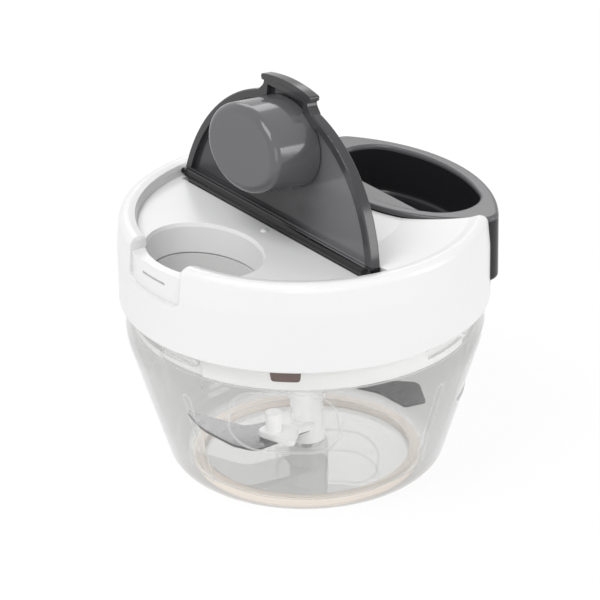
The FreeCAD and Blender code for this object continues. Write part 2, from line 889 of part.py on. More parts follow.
def make_housing():
    posts = housing_posts(housing_post_r, plate_top_z, housing_top_z)
    body = joined(disc(housing_outer_r, plate_top_z, housing_top_z), posts)
    body = body.cut(disc(housing_inner_r, plate_top_z - past, housing_top_z + past))
    for pilot in housing_posts(cover_screw_r, housing_top_z - cover_screw_length, housing_top_z + past):
        body = body.cut(pilot)
    low = cord_exit_z - housing_window_height / 2
    window = box(housing_inner_r / 2, housing_outer_r + past, housing_window_low_y, housing_window_high_y,
                 low, low + housing_window_height)
    return body.cut(window).removeSplitter()


def make_cover():
    top = housing_top_z + cover_thickness
    body = joined(disc(housing_outer_r, housing_top_z, top), housing_posts(housing_post_r, housing_top_z, top))
    body = body.cut(disc(arbor_r - arbor_shoulder, housing_top_z - past, top + past))
    for hole in housing_posts(cover_screw_r + screw_hole_clearance, housing_top_z - past, top + past):
        body = body.cut(hole)
    return body.removeSplitter()


def make_arbor():
    top = housing_top_z + cover_thickness
    neck_r = arbor_r - arbor_shoulder
    body = turned([
        (0, arbor_bottom_z),
        (arbor_r, arbor_bottom_z, arbor_edge_fillet),
        (arbor_r, housing_top_z),
        (neck_r, housing_top_z),
        (neck_r, top, arbor_edge_fillet),
        (0, top),
    ])
    return body.cut(disc(arbor_bore_r, arbor_bottom_z - past, shaft_pin_top_z + shaft_end_gap))


def make_reel():
    web_top = reel_bottom_z + reel_web
    drum_inner = drum_r - drum_wall
    top = reel_top_flange_z + reel_flange_thickness
    return turned([
        (shaft_r, reel_bottom_z),
        (reel_flange_r, reel_bottom_z, reel_edge_fillet),
        (reel_flange_r, web_top, reel_edge_fillet),
        (drum_r, web_top),
        (drum_r, reel_top_flange_z),
        (reel_flange_r, reel_top_flange_z, reel_edge_fillet),
        (reel_flange_r, top, reel_edge_fillet),
        (drum_inner, top),
        (drum_inner, web_top),
        (shaft_r, web_top),
    ])


# Flat spiral of half circles about two centres, as thick as the strip
def make_spring():
    half_turns = int(round(spring_turns * 2))
    growth = (spring_outer_r - spring_inner_r) / half_turns
    centre_shift = growth / 2
    sides = []
    for offset in (0.0, spring_strip):
        edges = []
        points = []
        radius = spring_inner_r + offset
        for index in range(half_turns):
            centre = centre_shift if index % 2 else -centre_shift
            direction = -1 if index % 2 else 1
            start = Vector(centre + direction * radius, 0, spring_bottom_z)
            middle = Vector(centre, direction * radius, spring_bottom_z)
            end = Vector(centre - direction * radius, 0, spring_bottom_z)
            edges.append(Part.Arc(start, middle, end).toShape())
            points.append(start)
            last = end
            radius += growth
        sides.append((edges, points[0], last))
    caps = [Part.makeLine(sides[0][1], sides[1][1]), Part.makeLine(sides[0][2], sides[1][2])]
    wire = Part.Wire(Part.__sortEdges__(sides[0][0] + sides[1][0] + caps))
    return Part.Face(wire).extrude(up * spring_height)


def arc_between(start, control, end):
    chord = end - start
    if (control - start).cross(chord).Length < 1e-9:
        return Part.makeLine(start, end)
    half_turn = (control - start).getAngle(chord)
    middle = start + chord * 0.5
    outward = (control - middle).normalize()
    sagitta = chord.Length / 2 * math.tan(half_turn / 2)
    return Part.Arc(start, middle + outward * sagitta, end).toShape()


def lead_angle():
    return -math.acos(cord_coil_r / lead_corner_x)


def coil_point(turn):
    angle = lead_angle() - 2 * math.pi * (cord_turns - turn)
    return Vector(cord_coil_r * math.cos(angle), cord_coil_r * math.sin(angle), cord_bottom_z + turn * cord_pitch)


def coil_tangent(turn):
    angle = lead_angle() - 2 * math.pi * (cord_turns - turn)
    rise = cord_pitch / (2 * math.pi)
    return Vector(-cord_coil_r * math.sin(angle), cord_coil_r * math.cos(angle), rise).normalize()


# A round cord swept along a wire, from a disc square to its first point
def swept_cord(edges, start, direction):
    path = Part.Wire(edges)
    section = Part.Wire(Part.makeCircle(cord_r, start, direction))
    return path.makePipeShell([section], True, False)


def coil_path():
    steps = cord_turns * 4
    start = coil_point(0)
    edges = [Part.makeLine(start - coil_tangent(0) * cord_r * 2, start)]
    for index in range(steps):
        first = coil_point(index / 4)
        second = coil_point((index + 1) / 4)
        leave = coil_tangent(index / 4)
        arrive = coil_tangent((index + 1) / 4)
        gap = second - first
        # equal legs d: the square of |gap - d(leave + arrive)| is (2 d) squared
        spread = leave + arrive
        a = spread.dot(spread) - 4
        b = -2 * gap.dot(spread)
        c = gap.dot(gap)
        legs = (-b - math.sqrt(b * b - 4 * a * c)) / (2 * a)
        if legs < 0:
            legs = (-b + math.sqrt(b * b - 4 * a * c)) / (2 * a)
        first_control = first + leave * legs
        second_control = second - arrive * legs
        meeting = (first_control + second_control) * 0.5
        edges.append(arc_between(first, first_control, meeting))
        edges.append(arc_between(meeting, second_control, second))
    finish = coil_point(cord_turns)
    edges.append(Part.makeLine(finish, finish + coil_tangent(cord_turns) * cord_r * 2))
    return edges


def make_winding():
    start = coil_point(0) - coil_tangent(0) * cord_r * 2
    return swept_cord(coil_path(), start, coil_tangent(0))


# Least gap between the winding and itself, over points at least half a turn apart
def winding_gap():
    per_turn = 36
    points = [coil_point(index / per_turn) for index in range(cord_turns * per_turn + 1)]
    closest = far
    for index, point in enumerate(points):
        for other in points[index + per_turn // 2:]:
            closest = min(closest, point.distanceToPoint(other))
    return closest - 2 * cord_r


def make_lead():
    finish = coil_point(cord_turns)
    start = finish + coil_tangent(cord_turns) * cord_r * 2
    corner = Vector(lead_corner_x, 0, cord_exit_z)
    end = Vector(handle_hollow_x + lead_tail, 0, cord_exit_z)
    bend_start = corner - (corner - start).normalize() * lead_bend_reach
    bend_end = corner + (end - corner).normalize() * lead_bend_reach
    edges = [Part.makeLine(start, bend_start), arc_between(bend_start, corner, bend_end),
             Part.makeLine(bend_end, end)]
    return swept_cord(edges, start, bend_start - start)


def make_eyelet():
    half = bay_wall / 2
    along = Vector(1, 0, 0)
    sleeve = Part.makeCylinder(eyelet_body_r, bay_wall, Vector(eyelet_x - half, 0, cord_exit_z), along)
    flange_start = Vector(eyelet_x - half - eyelet_flange_thickness, 0, cord_exit_z)
    flange = Part.makeCylinder(eyelet_flange_r, eyelet_flange_thickness, flange_start, along)
    flange = flange.cut(bay_cylinder(handle_front_r + bay_clearance + bay_wall, 0, far))
    bore = Part.makeCylinder(eyelet_bore_r, far, Vector(eyelet_x - far / 2, 0, cord_exit_z), along)
    return sleeve.fuse(flange).cut(bore).removeSplitter()


def make_knot():
    centre = Vector(handle_hollow_x + knot_r * 1.3, 0, cord_exit_z)
    ball = Part.makeSphere(knot_r, centre)
    tail_start = centre + Vector(0, -cord_r, -knot_r * 0.4)
    tail = Part.makeCylinder(cord_r, knot_r * 2.2, tail_start, Vector(0.35, -0.4, -0.85))
    return ball.fuse(tail).removeSplitter()


# Drive line
def make_shaft():
    bore_top = reel_bottom_z + reel_web
    return turned([
        (0, shaft_bottom_z),
        (shaft_r, shaft_bottom_z, shaft_end_fillet),
        (shaft_r, bore_top),
        (shaft_pin_r, bore_top),
        (shaft_pin_r, shaft_pin_top_z, shaft_end_fillet),
        (0, shaft_pin_top_z),
    ])


def make_socket():
    body = turned([
        (0, socket_bottom_z),
        (socket_outer_r, socket_bottom_z, socket_edge_fillet),
        (socket_outer_r, socket_top_z, socket_edge_fillet),
        (0, socket_top_z),
    ])
    body = body.cut(disc(socket_bore_r, socket_bottom_z - past, socket_bore_top_z))
    for side in (90.0, 270.0):
        start = side - jaw_half_angle
        end = side + jaw_half_angle
        key_bottom = socket_bottom_z + jaw_end_gap
        body = body.fuse(sector(socket_key_r, socket_bore_r + overlap, key_bottom,
                                socket_bore_top_z + overlap, start, end))
    return body.cut(disc(shaft_r, shaft_bottom_z, far)).removeSplitter()


def make_seal():
    return tube(shaft_r + shaft_running_fit / 2, bush_outer_r, seal_bottom_z, seal_bottom_z + seal_thickness)


def make_bush():
    return tube(shaft_r + shaft_running_fit, bush_outer_r, seal_bottom_z + seal_thickness, boss_top_z)


def make_washer():
    return tube(shaft_r + shaft_running_fit * 2, washer_outer_r, boss_top_z, reel_bottom_z)


# Handle: the space common to two arcs in plan, hollowed from above
def lens(front_r, back_r, bottom, top, tip_fillet):
    body = disc(front_r, bottom, top, handle_arc_x).common(disc(back_r, bottom, top))
    height = top - bottom
    tips = [edge for edge in body.Edges if abs(edge.BoundBox.ZLength - height) < 1e-4
            and edge.BoundBox.DiagonalLength < height * 1.01 and abs(edge.CenterOfMass.y) > back_r / 4]
    return body.makeFillet(tip_fillet, tips)


def edges_at(shape, z):
    return [edge for edge in shape.Edges if edge.BoundBox.ZMax - edge.BoundBox.ZMin < 1e-5
            and abs(edge.BoundBox.ZMax - z) < 1e-4]


def make_handle():
    body = lens(handle_front_r, handle_back_r, handle_bottom_z, handle_top_z, handle_tip_fillet)
    body = body.makeFillet(handle_bottom_fillet, edges_at(body, handle_bottom_z))
    body = body.makeFillet(handle_edge_fillet, edges_at(body, handle_top_z))
    hollow_front = handle_front_r - handle_front_wall
    hollow_back = handle_back_r - handle_back_wall
    hollow = lens(hollow_front, hollow_back, handle_floor_z, handle_top_z + past, handle_hollow_fillet)
    hollow = hollow.makeFillet(handle_floor_fillet, edges_at(hollow, handle_floor_z))
    body = body.cut(hollow)
    inner_rim = [edge for edge in edges_at(body, handle_top_z) if edge.distToShape(hollow)[0] < 1e-4]
    body = body.makeFillet(handle_inner_fillet, inner_rim)
    shelf_bottom = handle_shelf_top_z - handle_shelf_thickness
    shelf = lens(hollow_front + overlap, hollow_back + overlap, shelf_bottom, handle_shelf_top_z,
                 handle_hollow_fillet)
    body = body.fuse(shelf.common(box(0, handle_shelf_x, -far, far, 0, far)))
    bore_start = Vector(handle_front_x - past, 0, cord_exit_z)
    bore = Part.makeCylinder(cord_bore_r, handle_front_wall + 2 * past, bore_start, Vector(1, 0, 0))
    return body.cut(bore).removeSplitter()


# Flap, drawn closed over the deck and then swung open about its hinge
def swung_open(shape):
    shape.rotate(Vector(hinge_x, 0, hinge_z), Vector(0, 1, 0), flap_open_angle)
    return shape


def flap_disc(radius, bottom, top):
    return disc(radius, bottom, top, flap_arc_x)


def hinge_pin(radius):
    pins = []
    for side in (-1, 1):
        start = Vector(hinge_x, side * (hinge_pin_reach - hinge_pin_depth), hinge_z)
        pins.append(Part.makeCylinder(radius, hinge_pin_depth, start, Vector(0, side, 0)))
    return Part.makeCompound(pins)


def make_hinge_pins():
    return hinge_pin(hinge_pin_r)


# The neck widens in a hollow curve from the tab's cross plate to the flap's arc
def flap_neck():
    shoulder = tab_neck_half_width + tab_shoulder
    arc_end = flap_arc_x - math.sqrt(flap_arc_r ** 2 - shoulder ** 2)
    flare_end = arc_end - tab_shoulder
    neck_start = arc_end + flap_lip_width / 2
    neck_end = overlap - tab_outer_r + tab_plate_thickness
    corners = [
        (neck_start, -shoulder),
        (arc_end, -shoulder),
        (flare_end, -tab_neck_half_width, tab_flare_fillet),
        (neck_end - 2 * overlap, -tab_neck_half_width),
        (neck_end - 2 * overlap, tab_neck_half_width),
        (flare_end, tab_neck_half_width, tab_flare_fillet),
        (arc_end, shoulder),
        (neck_start, shoulder),
    ]
    return plate(corners, flap_bottom_z, flap_thickness)


def neck_hollow():
    end_x = tab_lip_width - tab_outer_r + tab_plate_thickness
    half = tab_neck_half_width - tab_lip_width
    return box(end_x, hinge_x - plug_reach, -half, half, flap_bottom_z - past, flap_face_z)


def tab_cross_plate():
    half_angle = math.degrees(math.asin(tab_half_width / tab_outer_r))
    inner = tab_outer_r - tab_plate_thickness
    cross = sector(inner, tab_outer_r, flap_top_z - tab_drop, flap_top_z, 180 - half_angle, 180 + half_angle)
    uprights = [edge for edge in cross.Edges if abs(edge.BoundBox.ZLength - tab_drop) < 1e-4]
    cross = cross.makeFillet(tab_plate_thickness * 0.4, uprights)
    return cross.makeFillet(tab_edge_fillet, edges_at(cross, flap_top_z))


# Barrel round the hinge line, its ends bevelled on the side that faces forward when the flap is open
def flap_barrel():
    half = flap_barrel_half_length
    start = Vector(hinge_x, -half, hinge_z)
    barrel = Part.makeCylinder(flap_barrel_r, 2 * half, start, Vector(0, 1, 0))
    front_x = hinge_x - flap_barrel_r - past
    back_x = hinge_x + flap_barrel_r + past
    slope = flap_barrel_chamfer / flap_barrel_r
    short = half - flap_barrel_chamfer - past * slope
    keep = plate([
        (front_x, -short),
        (hinge_x, -half),
        (back_x, -half),
        (back_x, half),
        (hinge_x, half),
        (front_x, short),
    ], hinge_z - 2 * flap_barrel_r, 4 * flap_barrel_r)
    return barrel.common(keep)


def make_flap():
    body = flap_disc(flap_arc_r, flap_bottom_z, flap_top_z)
    body = body.makeFillet(flap_edge_fillet, edges_at(body, flap_top_z) + edges_at(body, flap_bottom_z))
    body = body.common(box(-far, hinge_x + flap_edge_reach, -far, far, 0, far))
    hollow_end = hinge_x - flap_bar_reach
    hollow = flap_disc(flap_arc_r - flap_lip_width, flap_bottom_z - past, flap_face_z)
    hollow = hollow.common(box(-far, hollow_end, -far, far, 0, far))
    body = joined(body, [flap_neck(), tab_cross_plate()]).cut(hollow).cut(neck_hollow())
    plug_room = oval(plug_half_x, plug_half_y, hinge_x - plug_reach, flap_bottom_z - past, flap_face_z)
    body = swung_open(body.cut(plug_room)).fuse(flap_barrel())
    groove_drop = hinge_z - flap_bottom_z
    groove_x = hinge_x - math.sqrt(flap_barrel_r ** 2 - groove_drop ** 2)
    groove = box(groove_x - flap_groove_width, groove_x, -far, far, flap_bottom_z - past,
                 flap_bottom_z + flap_groove_depth)
    return body.cut(swung_open(groove)).cut(hinge_pin(hinge_pin_r + pin_running_fit)).removeSplitter()


def make_plug():
    centre_x = hinge_x - plug_reach
    bottom = flap_face_z - plug_length
    groove_bottom = flap_face_z - plug_groove_height
    end_half = (plug_half_x - plug_draft, plug_half_y - plug_draft)
    body = oval_taper(end_half, bottom, (plug_half_x, plug_half_y), flap_face_z, centre_x)
    body = body.makeFillet(plug_edge_fillet, edges_at(body, bottom))
    inner_end = (end_half[0] - plug_wall, end_half[1] - plug_wall)
    inner_top = (plug_half_x - plug_wall, plug_half_y - plug_wall)
    hollow = oval_taper(inner_end, bottom + plug_floor, inner_top, flap_face_z, centre_x)
    groove = oval(plug_half_x + past, plug_half_y + past, centre_x, groove_bottom, flap_face_z)
    core = oval(plug_half_x - plug_groove_depth, plug_half_y - plug_groove_depth, centre_x, groove_bottom,
                flap_face_z)
    return swung_open(body.cut(hollow).cut(groove.cut(core)))


# Screws
def screw(place, bottom, shank_r, head_r, head_height, length, upward):
    side = 1 if upward else -1
    head = Part.makeCylinder(head_r, head_height, Vector(place.x, place.y, bottom), up * -side)
    shank = Part.makeCylinder(shank_r, length, Vector(place.x, place.y, bottom), up * side)
    body = head.fuse(shank)
    slot_half = head_r * 0.65
    depth = head_height * 0.6
    low = bottom - side * head_height
    z0 = min(low, low + side * depth)
    for long_x in (True, False):
        half_x = slot_half if long_x else screw_slot_half_width
        half_y = screw_slot_half_width if long_x else slot_half
        body = body.cut(box(place.x - half_x, place.x + half_x, place.y - half_y, place.y + half_y, z0, z0 + depth))
    return body


def make_plate_screws():
    screws = []
    for place in screw_places():
        screws.append(screw(place, gasket_top_z, screw_shank_r, screw_head_r, screw_head_height,
                            plate_screw_length, True))
    return Part.makeCompound(screws)


def make_cover_screws():
    top = housing_top_z + cover_thickness
    screws = []
    for angle in housing_post_angles:
        place = polar(housing_post_centre_r, angle)
        screws.append(screw(place, top, cover_screw_r, cover_screw_head_r, cover_screw_head_height,
                            cover_screw_length, False))
    return Part.makeCompound(screws)


pieces = {
    "bowl": make_bowl,
    "base_ring": make_base_ring,
    "bowl_pivot_pin": make_pivot_pin,
    "blade_hub": make_hub,
    "blade_lower": lambda: make_blade(lower_blade_outline(), lower_blade_z),
    "blade_middle": lambda: make_blade(middle_blade_outline(), middle_blade_z),
    "blade_upper": lambda: make_blade(upper_blade_outline(), upper_blade_z),
    "lower_blade_clamp": make_lower_clamp,
    "middle_blade_clamp": make_middle_clamp,
    "upper_blade_clamp": make_upper_clamp,
    "lid_gasket": make_gasket,
    "lid_shell": make_lid_shell,
    "lid_base_plate": make_base_plate,
    "lock_indicator": make_indicator,
    "feed_chute_lower": make_chute_lower,
    "reel_housing": make_housing,
    "reel_cover": make_cover,
    "spring_arbor": make_arbor,
    "reel": make_reel,
    "return_spring": make_spring,
    "pull_cord_winding": make_winding,
    "pull_cord_lead": make_lead,
    "cord_eyelet": make_eyelet,
    "cord_knot": make_knot,
    "handle": make_handle,
    "drive_shaft": make_shaft,
    "drive_socket": make_socket,
    "shaft_seal": make_seal,
    "shaft_bush": make_bush,
    "thrust_washer": make_washer,
    "flap": make_flap,
    "flap_plug": make_plug,
    "flap_hinge_pins": make_hinge_pins,
    "base_plate_screws": make_plate_screws,
    "reel_cover_screws": make_cover_screws,
}

os.makedirs("parts", exist_ok=True)
for name, make in pieces.items():
    shape = make()
    print(name, "solids", len(shape.Solids), "valid", shape.isValid(), "volume", round(shape.Volume, 1))
    shape.exportStep("parts/" + name + ".step")
print("least gap of the winding to itself", round(winding_gap(), 2))
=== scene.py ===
import bmesh
import bpy
import json
import math
from mathutils import Matrix, Vector


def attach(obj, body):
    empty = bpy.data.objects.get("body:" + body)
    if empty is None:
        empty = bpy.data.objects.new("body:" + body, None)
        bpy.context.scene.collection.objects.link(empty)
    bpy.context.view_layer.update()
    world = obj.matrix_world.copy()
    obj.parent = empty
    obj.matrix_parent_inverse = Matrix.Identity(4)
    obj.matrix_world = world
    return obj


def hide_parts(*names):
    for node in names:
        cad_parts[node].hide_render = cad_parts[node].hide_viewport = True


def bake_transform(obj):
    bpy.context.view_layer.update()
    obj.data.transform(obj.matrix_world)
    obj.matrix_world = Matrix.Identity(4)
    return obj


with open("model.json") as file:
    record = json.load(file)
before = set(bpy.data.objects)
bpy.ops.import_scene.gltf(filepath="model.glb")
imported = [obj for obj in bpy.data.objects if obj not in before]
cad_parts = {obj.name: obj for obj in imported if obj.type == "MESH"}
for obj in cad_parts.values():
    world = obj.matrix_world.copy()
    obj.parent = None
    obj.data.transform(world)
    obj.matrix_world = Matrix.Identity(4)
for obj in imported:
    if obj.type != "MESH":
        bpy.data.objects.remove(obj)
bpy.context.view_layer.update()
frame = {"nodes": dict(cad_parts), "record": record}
nodes = frame["nodes"]
mm = 0.001

# the pull cord: lengths in metres, angles in degrees, as the reel and the handle hold it
cordLine = {
    "radius": 0.7 * mm,
    "coilRadius": 13.0 * mm,
    "turns": 5,
    "pitch": 2.0 * mm,
    "coilBottom": 74.2 * mm,
    "cornerX": 19.4 * mm,
    "endX": 26.0 * mm,
    "exitHeight": 84.2 * mm,
    "pointsPerTurn": 16,
}

# the photograph's view: angles in degrees, target height and distance in metres
viewpoint = {
    "azimuth": -36.26,
    "elevation": 26.21,
    "roll": 0.85,
    "targetHeight": 0.05,
    "distance": 1.3,
    "lens": 221.5,
    "shiftX": -0.0089,
    "shiftY": 0.0461,
}


def placeCamera(view):
    azimuth = math.radians(view["azimuth"])
    elevation = math.radians(view["elevation"])
    roll = math.radians(view["roll"])
    back = Vector((math.sin(azimuth) * math.cos(elevation), -math.cos(azimuth) * math.cos(elevation),
                   math.sin(elevation)))
    right = Vector((math.cos(azimuth), math.sin(azimuth), 0))
    up = back.cross(right)
    turnedRight = right * math.cos(roll) - up * math.sin(roll)
    turnedUp = up * math.cos(roll) + right * math.sin(roll)
    place = Vector((0, 0, view["targetHeight"])) + back * view["distance"]
    lens = bpy.data.cameras.new("photoCamera")
    lens.lens = view["lens"]
    lens.sensor_width = 36
    lens.shift_x = view["shiftX"]
    lens.shift_y = view["shiftY"]
    lens.clip_end = 20
    camera = bpy.data.objects.new("photoCamera", lens)
    bpy.context.scene.collection.objects.link(camera)
    turn = Matrix((turnedRight, turnedUp, back)).transposed()
    camera.matrix_world = Matrix.Translation(place) @ turn.to_4x4()
    bpy.context.scene.camera = camera


placeCamera(viewpoint)
print("camera placed")


# A wire carries one socket's value, and maths on it adds the nodes that work it out
class Wire:
    def __init__(self, tree, socket):
        self.tree = tree
        self.socket = socket

    def maths(self, operation, first, second=0.0):
        return self.tree.node("ShaderNodeMath", {"operation": operation}, {0: first, 1: second})

    def other(self, output):
        return Wire(self.tree, self.socket.node.outputs[output])

    def __add__(self, other):
        return self.maths("ADD", self, other)

    def __radd__(self, other):
        return self.maths("ADD", other, self)

    def __sub__(self, other):
        return self.maths("SUBTRACT", self, other)

    def __rsub__(self, other):
        return self.maths("SUBTRACT", other, self)

    def __mul__(self, other):
        return self.maths("MULTIPLY", self, other)

    def __rmul__(self, other):
        return self.maths("MULTIPLY", other, self)

    def __pow__(self, other):
        return self.maths("POWER", self, other)

    def __gt__(self, other):
        return self.maths("GREATER_THAN", self, other)

    def __lt__(self, other):
        return self.maths("LESS_THAN", self, other)


# A tree of nodes, for a finish or for a shape: one method makes any node
class Tree:
    def __init__(self, tree):
        self.tree = tree
        self.tree.nodes.clear()

    def node(self, kind, settings=None, values=None, output=0):
        made = self.tree.nodes.new(kind)
        for key, value in (settings or {}).items():
            if key == "stops":
                self.setStops(made.color_ramp, value)
            else:
                setattr(made, key, value)
        for key, value in (values or {}).items():
            self.feed(made.inputs[key], value)
        return Wire(self, made.outputs[output]) if made.outputs else None

    def feed(self, socket, value):
        if isinstance(value, Wire):
            self.tree.links.new(value.socket, socket)
        else:
            socket.default_value = value

    def setStops(self, ramp, stops):
        while len(ramp.elements) < len(stops):
            ramp.elements.new(1.0)
        for element, (position, level) in zip(ramp.elements, stops):
            element.position = position
            element.color = (level, level, level, 1)


class Finish(Tree):
    def maths(self, operation, first, second=0.0):
        return self.node("ShaderNodeMath", {"operation": operation}, {0: first, 1: second})

    def axis(self, name):
        place = self.node("ShaderNodeTexCoord", output="Object")
        return self.node("ShaderNodeSeparateXYZ", None, {0: place}, output=name)

    def coordinates(self, scale=(1, 1, 1)):
        place = self.node("ShaderNodeTexCoord", output="Object")
        return self.node("ShaderNodeMapping", None, {"Vector": place, "Scale": scale})

    def noise(self, scale, detail=2.0, roughness=0.5, stretch=(1, 1, 1)):
        place = self.coordinates(stretch)
        values = {"Vector": place, "Scale": scale, "Detail": detail, "Roughness": roughness}
        return self.node("ShaderNodeTexNoise", None, values)

    def ramp(self, value, stops):
        return self.node("ShaderNodeValToRGB", {"stops": stops}, {"Fac": value})

    def mixed(self, factor, first, second):
        made = self.tree.nodes.new("ShaderNodeMix")
        made.data_type = "RGBA"
        self.feed(made.inputs[0], factor)
        self.feed(made.inputs[6], first)
        self.feed(made.inputs[7], second)
        return Wire(self, made.outputs[2])

    def blended(self, factor, first, second):
        return self.node("ShaderNodeMixShader", None, {0: factor, 1: first, 2: second})

    def roundedEdges(self, radius):
        return self.node("ShaderNodeBevel", {"samples": 4}, {"Radius": radius})

    def bump(self, height, distance, normal=None):
        values = {"Height": height, "Distance": distance}
        if normal:
            values["Normal"] = normal
        return self.node("ShaderNodeBump", None, values)

    def plastic(self, values):
        return self.node("ShaderNodeBsdfPrincipled", None, values)

    def output(self, shader):
        self.node("ShaderNodeOutputMaterial", None, {"Surface": shader})


def newFinish(name):
    material = bpy.data.materials.new(name)
    material.use_nodes = True
    return material, Finish(material.node_tree)


def grey(level):
    return (level, level, level, 1)


def darkened(colour, share):
    return tuple(part * share for part in colour[:3]) + (1,)


# How fine each pattern is, as a noise scale over metres
grain = {"drift": 28, "rubbed": 70, "waviness": 160, "glass": 34, "brushed": 900, "patch": 60, "fibre": 4200}
# Depths and roundings in millimetres
brushing = {"depth": 0.003, "edge": 0.15}
weave = {"depth": 0.08, "strandShare": 0.7, "fibreShare": 0.3}


# Moulded plastic: a slow drift of colour, a faint waviness from the mould and rubbed, smoother patches, and
# where a look asks for it, painted light and painted shade
def mouldedPlastic(name, look):
    material, finish = newFinish(name)
    colour = look["colour"]
    slow = finish.noise(grain["drift"], 3)
    wave = finish.noise(grain["waviness"])
    rubbed = finish.noise(grain["rubbed"], 3, 0.6)
    shade = finish.mixed(slow, colour, darkened(colour, 1 - look.get("drift", 0.03)))
    if look.get("paintedLightColour"):  # painted light: a face painted paler towards one side, inside its rim
        start, span = (length * mm for length in look["paintedLightFrom"])
        across = finish.node("ShaderNodeMapRange", {"interpolation_type": "SMOOTHSTEP"},
                             {"Value": finish.axis("Y"), "From Min": start, "From Max": start + span})
        reach, centre = (length * mm for length in look["face"])
        face = finish.axis("Y") ** 2 + (finish.axis("Z") - centre) ** 2 < reach ** 2
        shade = finish.mixed(across * face, shade, look["paintedLightColour"])
    if look.get("below"):  # painted shade: a darker colour painted under a height
        shade = finish.mixed(finish.axis("Z") > look["belowHeight"] * mm, look["below"], shade)
    roughness = look["roughness"]
    rough = roughness * 0.85 + rubbed * (roughness * 0.3)
    edges = None
    if look.get("edge"):
        edges = finish.roundedEdges(look["edge"] * mm)
    normal = finish.bump(wave, look.get("wave", 0.004) * mm, edges)
    values = {"Base Color": shade, "Roughness": rough, "Normal": normal, "IOR": look.get("ior", 1.5)}
    finish.output(finish.plastic(values))
    return material


# Clear plastic as thin walls: each takes a little light, greys and mirrors towards its edges, shows its
# corners as pale lines and lets the lamps through
def clearPlastic(name, look):
    material, finish = newFinish(name)
    normal = finish.bump(finish.noise(grain["glass"]), look["wave"] * mm)
    clear = finish.node("ShaderNodeBsdfTransparent", None, {"Color": look["tint"]})
    haze = finish.plastic({"Base Color": look["edgeColour"], "Roughness": look["hazeRoughness"],
                           "Normal": normal})
    facing = finish.node("ShaderNodeLayerWeight", None, {"Blend": 0.5, "Normal": normal}, output="Facing")
    sharp = finish.node("ShaderNodeNewGeometry", output="Normal")
    eased = finish.roundedEdges(look["lineWidth"] * mm)
    same = finish.node("ShaderNodeVectorMath", {"operation": "DOT_PRODUCT"}, {0: sharp, 1: eased},
                       output="Value")
    lines = finish.maths("MINIMUM", (1 - same) * look["lineGain"], look["lineStrength"])
    edges = finish.maths("MAXIMUM", facing ** look["edgePower"] * look["edgeStrength"], lines)
    walls = finish.blended(edges, clear, haze)
    mirror = finish.node("ShaderNodeBsdfAnisotropic", None,
                         {"Color": grey(1), "Roughness": look["roughness"], "Normal": normal})
    sheen = facing ** look["sheenPower"] * look["sheenEdge"] + look["sheen"]  # same from either side
    walls = finish.blended(sheen, walls, mirror)
    lamp = finish.node("ShaderNodeLightPath", output="Is Shadow Ray")
    finish.output(finish.blended(lamp, walls, clear))
    return material


def steel(name, look):
    material, finish = newFinish(name)
    lines = finish.noise(grain["brushed"], 3, 0.6, look["stretch"])
    roughness = look["roughness"]
    rough = roughness * 0.75 + lines * (roughness * 0.5)
    shade = finish.mixed(finish.noise(grain["patch"]), look["colour"], darkened(look["colour"], 0.85))
    edges = finish.roundedEdges(brushing["edge"] * mm)
    values = {"Base Color": shade, "Metallic": 1.0, "Roughness": rough,
              "Normal": finish.bump(lines, brushing["depth"] * mm, edges)}
    finish.output(finish.plastic(values))
    return material


# Braided fibre: crossing strands worked out along X and round the cord's own line, with fine fibres over them
def braidedFibre(name, look):
    material, finish = newFinish(name)
    along = finish.axis("X") * (2 * math.pi / (look["strandLength"] * mm))
    height = finish.axis("Z") - cordLine["exitHeight"]
    turned = finish.maths("ARCTAN2", height, finish.axis("Y")) * look["strands"]
    one = finish.maths("SINE", along + turned)
    other = finish.maths("SINE", along - turned)
    strands = finish.maths("MAXIMUM", one, other)
    fibres = finish.noise(grain["fibre"], 2, 0.6)
    # painted shade: the valleys between the strands are painted darker than the crowns
    crown = finish.ramp(strands + fibres * 0.4, [(0.2, 0.0), (0.9, 1.0)])
    shade = finish.mixed(crown, darkened(look["colour"], 0.6), look["colour"])
    relief = strands * weave["strandShare"] + fibres * weave["fibreShare"]
    normal = finish.bump(relief, weave["depth"] * mm)
    finish.output(finish.plastic({"Base Color": shade, "Roughness": look["roughness"], "Normal": normal,
                                  "Sheen Weight": 0.3}))
    return material


